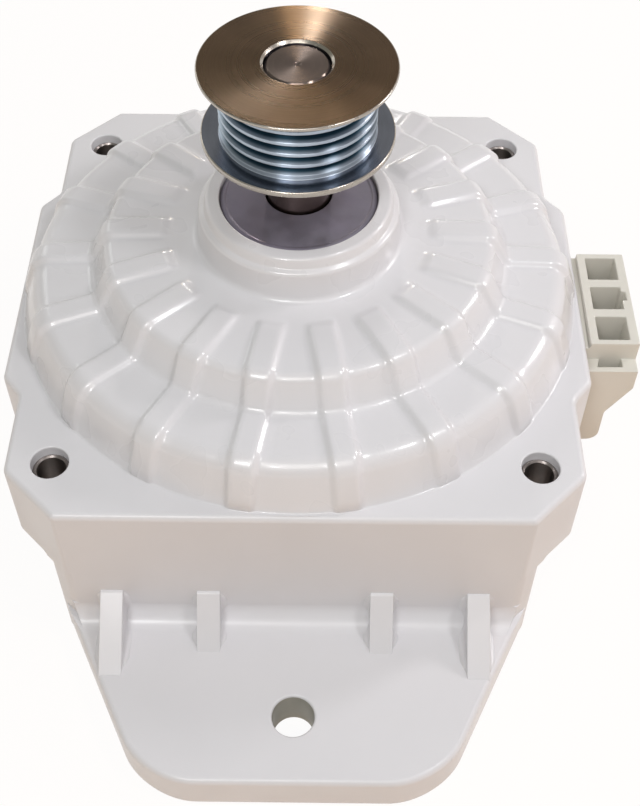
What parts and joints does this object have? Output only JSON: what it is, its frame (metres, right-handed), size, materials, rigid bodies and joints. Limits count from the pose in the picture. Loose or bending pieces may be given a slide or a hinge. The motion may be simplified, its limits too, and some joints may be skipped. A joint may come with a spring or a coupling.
{
  "type": "washing machine motor",
  "caption": "Belt-drive washing machine motor with a ribbed moulded body, mounting ears, a foot plate, a plug housing and a flanged grooved pulley on an upright shaft.",
  "frame": {"origin": "centre of the four ear holes, on the shaft axis, in the plane of the flange's upper face", "axes": "+Z along the shaft towards the pulley, -Y towards the foot plate, +X towards the plug housing"},
  "size_m": [0.1251, 0.1487, 0.0983],
  "materials": {
    "white_moulding": "glossy white moulding, slightly warm in the shade",
    "cup_steel": "pressed steel, satin",
    "sleeve_steel": "dark machined steel",
    "shaft_steel": "ground steel",
    "pulley_steel": "turned steel, bright",
    "plug_plastic": "ivory moulding, satin",
    "terminal_metal": "stamped brass",
    "bearing_steel": "ground bearing steel",
    "cage_plastic": "natural polyamide",
    "shield_steel": "pressed sheet",
    "spring_steel": "blued spring steel",
    "core_steel": "stacked electrical sheet",
    "insulator_plastic": "natural polyester",
    "winding_copper": "enamelled copper wire",
    "magnet_ferrite": "ground ferrite",
    "end_ring_metal": "die-cast aluminium",
    "cover_steel": "zinc-plated pressed steel",
    "screw_steel": "zinc-plated steel"
  },
  "bodies": {
    "motor_body": {"motor_housing": "white_moulding", "front_bearing_cup": "cup_steel", "sleeve_front_left": "sleeve_steel", "sleeve_front_right": "sleeve_steel", "sleeve_rear_left": "sleeve_steel", "sleeve_rear_right": "sleeve_steel", "connector_housing": "plug_plastic", "terminal_u": "terminal_metal", "terminal_v": "terminal_metal", "terminal_w": "terminal_metal", "front_bearing_outer_ring": "bearing_steel", "front_bearing_shields": "shield_steel", "rear_bearing_outer_ring": "bearing_steel", "rear_bearing_shields": "shield_steel", "wave_washer": "spring_steel", "stator_core": "core_steel", "stator_insulator_front": "insulator_plastic", "stator_insulator_rear": "insulator_plastic", "stator_coils": "winding_copper", "star_point_ring": "winding_copper", "rear_cover": "cover_steel", "rear_cover_screws": "screw_steel"},
    "rotor": {"shaft": "shaft_steel", "pulley": "pulley_steel", "front_bearing_inner_ring": "bearing_steel", "rear_bearing_inner_ring": "bearing_steel", "rotor_core": "core_steel", "rotor_magnets": "magnet_ferrite", "rotor_end_ring_front": "end_ring_metal", "rotor_end_ring_rear": "end_ring_metal"},
    "front_cage": {"front_bearing_cage": "cage_plastic", "front_bearing_balls": "bearing_steel"},
    "rear_cage": {"rear_bearing_cage": "cage_plastic", "rear_bearing_balls": "bearing_steel"}
  },
  "joints": [
    {"name": "rotor_spin", "type": "hinge", "parent": "motor_body", "child": "rotor", "pos_m": [0, 0, 0], "axis": [0, 0, 1], "continuous": true},
    {"name": "front_cage_spin", "type": "hinge", "parent": "motor_body", "child": "front_cage", "pos_m": [0, 0, 0.0195], "axis": [0, 0, 1], "continuous": true},
    {"name": "rear_cage_spin", "type": "hinge", "parent": "motor_body", "child": "rear_cage", "pos_m": [0, 0, -0.0361], "axis": [0, 0, 1], "continuous": true}
  ],
  "couplings": [
    {"joint": "front_cage_spin", "follows": "rotor_spin", "ratio": 0.38095},
    {"joint": "rear_cage_spin", "follows": "rotor_spin", "ratio": 0.38095}
  ]
}
